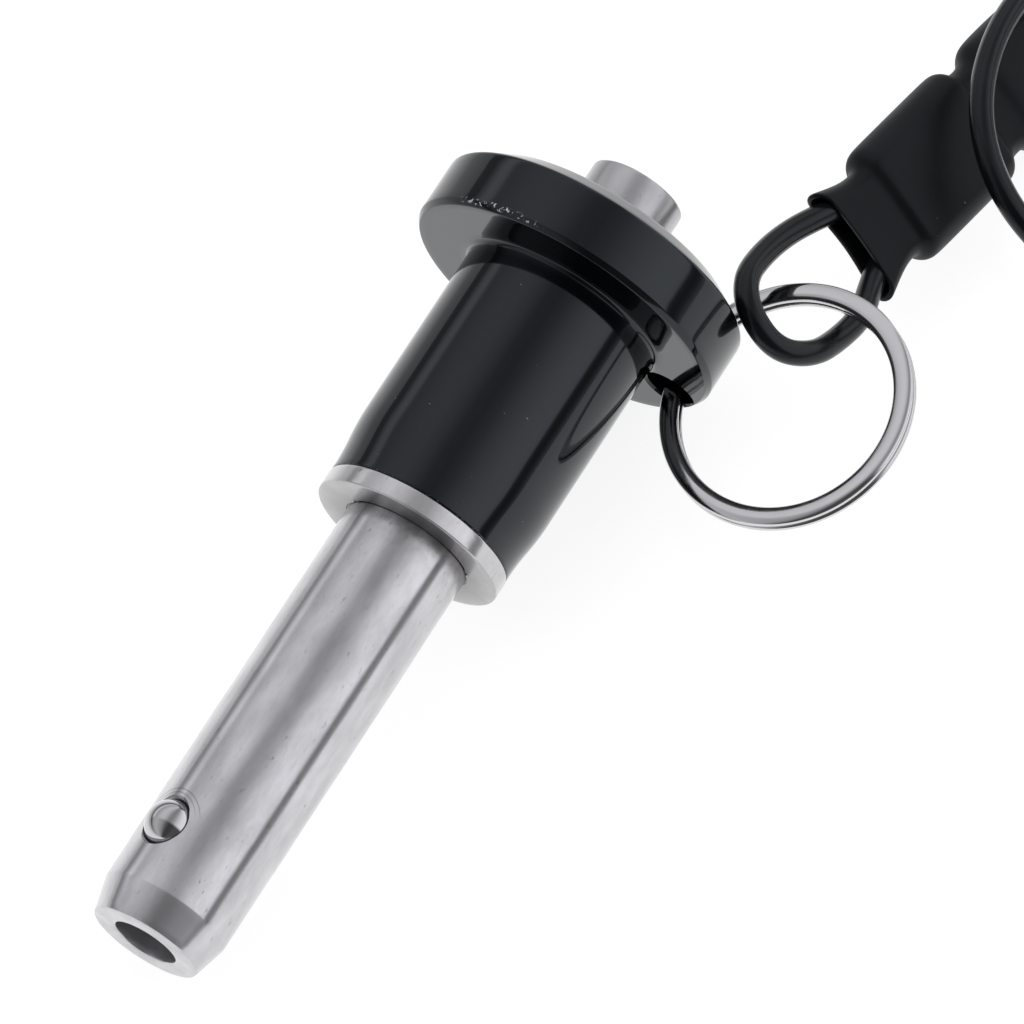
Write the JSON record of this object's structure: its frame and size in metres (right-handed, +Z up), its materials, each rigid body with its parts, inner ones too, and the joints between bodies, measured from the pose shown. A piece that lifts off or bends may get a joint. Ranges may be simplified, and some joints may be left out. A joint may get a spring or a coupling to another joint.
{
  "type": "ball lock pin",
  "caption": "Quick-release pin with a spring-loaded push button that retracts its locking balls, a black spool handle with a flange, a split ring and a covered cable lanyard.",
  "frame": {"origin": "on the surface that the pin lies on, under the middle of the box round the pin and its split ring", "axes": "+X along the pin's heading towards the button, +Z up; the pin itself rises 7.7 degrees towards the button"},
  "size_m": [0.1697, 0.0832, 0.0324],
  "materials": {
    "shank_steel": "ground and lightly scratched along its length",
    "collar_steel": "satin turned",
    "black_anodised": "glossy black anodised",
    "button_steel": "fine satin",
    "spindle_steel": "turned",
    "spring_steel": "bright wire",
    "ball_chrome": "polished",
    "ring_nickel": "polished nickel plate",
    "cable_vinyl": "smooth black vinyl over wire rope",
    "ferrule_alloy": "crimped",
    "shrink_sleeve": "matte black shrink tube"
  },
  "bodies": {
    "pin": {"shank": "shank_steel", "collar_washer": "collar_steel", "handle": "black_anodised", "return_spring": "spring_steel", "near_eye_cable": "cable_vinyl", "main_cable": "cable_vinyl", "far_eye_cable": "cable_vinyl", "near_ferrule": "ferrule_alloy", "second_ferrule": "ferrule_alloy", "far_ferrule": "ferrule_alloy", "near_sleeve": "shrink_sleeve", "far_sleeve": "shrink_sleeve"},
    "plunger": {"button": "button_steel", "spindle": "spindle_steel"},
    "upper_ball": {"ball_1": "ball_chrome"},
    "lower_ball": {"ball_2": "ball_chrome"},
    "ring": {"split_ring": "ring_nickel"}
  },
  "joints": [
    {"name": "button_press", "type": "slide", "parent": "pin", "child": "plunger", "axis": [-0.9909, 0, -0.1349], "range_m": [0, 0.004], "stiffness_N_per_m": 1500, "springref_m": -0.002, "deforming": ["return_spring"]},
    {"name": "upper_ball_retract", "type": "slide", "parent": "pin", "child": "upper_ball", "axis": [0.1151, -0.5218, -0.8453], "range_m": [0, 0.0013]},
    {"name": "lower_ball_retract", "type": "slide", "parent": "pin", "child": "lower_ball", "axis": [-0.1151, 0.5218, 0.8453], "range_m": [0, 0.0013]},
    {"name": "ring_swing", "type": "hinge", "parent": "pin", "child": "ring", "pos_m": [0.03227, -0.00199, 0.00976], "axis": [-0.9711, -0.0264, -0.2372], "range_deg": [0, 20]}
  ],
  "couplings": [
    {"joint": "upper_ball_retract", "follows": "button_press", "ratio": 0.325},
    {"joint": "lower_ball_retract", "follows": "button_press", "ratio": 0.325}
  ]
}
